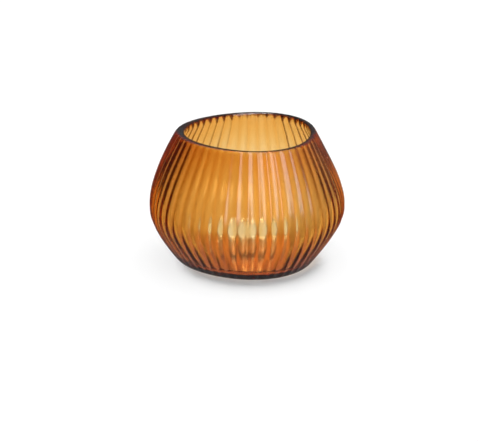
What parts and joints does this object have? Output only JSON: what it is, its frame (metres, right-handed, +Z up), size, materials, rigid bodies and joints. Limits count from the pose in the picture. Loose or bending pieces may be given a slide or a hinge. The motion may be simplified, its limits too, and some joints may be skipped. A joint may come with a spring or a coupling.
{
  "type": "tealight holder",
  "caption": "Squat round amber glass tealight holder with a wide belly, vertical cut flutes and a dark ground rim, with a loose tealight in a pressed metal cup.",
  "frame": {"origin": "middle of the vessel's ground foot, on the surface it stands on", "axes": "+Z up through the mouth; -Y is the front, and one soft corner of the three-cornered plan points along -X"},
  "size_m": [0.12, 0.12, 0.08],
  "materials": {
    "amber_glass": "satin",
    "cup_aluminium": "satin",
    "paraffin": "satin",
    "tinned_steel": "satin",
    "cotton": "matte"
  },
  "bodies": {
    "vessel": {"glass_vessel": "amber_glass"},
    "tealight": {"tealight_cup": "cup_aluminium"},
    "candle": {"wax_block": "paraffin", "wick_sustainer": "tinned_steel", "wick": "cotton"}
  },
  "joints": [
    {"name": "tealight_lift", "type": "slide", "parent": "vessel", "child": "tealight", "axis": [0, 0, 1], "range_m": [0, 0.085]},
    {"name": "candle_lift", "type": "slide", "parent": "tealight", "child": "candle", "axis": [0, 0, 1], "range_m": [0, 0.02]}
  ]
}
